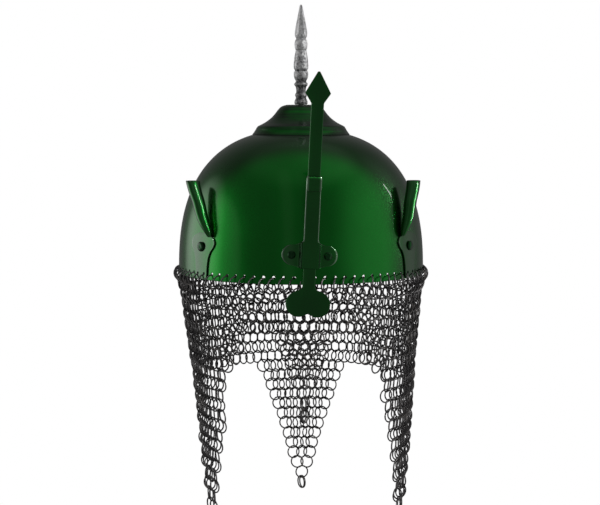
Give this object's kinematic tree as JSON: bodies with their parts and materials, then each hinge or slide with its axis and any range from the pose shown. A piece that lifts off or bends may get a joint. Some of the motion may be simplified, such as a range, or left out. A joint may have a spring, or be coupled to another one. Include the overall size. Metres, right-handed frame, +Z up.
{
  "type": "kulah khud helmet",
  "caption": "Lacquered steel bowl helmet with a turned apex cap and spike, a sliding nose bar with round lobes, tubular plume holders and a mail neck curtain cut into long points.",
  "frame": {"origin": "centre of the bowl's rim plane, where the wearer's head enters", "axes": "+Z up through the spike, -Y the way the wearer faces, +X to the right of someone who looks at the front"},
  "size_m": [0.216, 0.2275, 0.4616],
  "materials": {
    "green_lacquer": "gloss",
    "cast_metal": "as cast, rubbed bright",
    "rivet_iron": "worn lacquer over iron",
    "black_mail": "blackened wire"
  },
  "bodies": {
    "helmet": {"bowl": "green_lacquer", "apex_cap": "green_lacquer", "spike": "cast_metal", "spike_nut": "cast_metal", "nasal_bracket": "green_lacquer", "bracket_rivet_left": "rivet_iron", "bracket_rivet_right": "rivet_iron", "plume_holder_left": "green_lacquer", "plume_holder_right": "green_lacquer", "plume_rivet_left": "rivet_iron", "plume_rivet_right": "rivet_iron", "mail_curtain": "black_mail"},
    "nasal": {"nasal_bar": "green_lacquer"}
  },
  "joints": [
    {"name": "nasal_slide", "type": "slide", "parent": "helmet", "child": "nasal", "axis": [0.048, 0, 0.9988], "range_m": [-0.11, 0.015]}
  ]
}
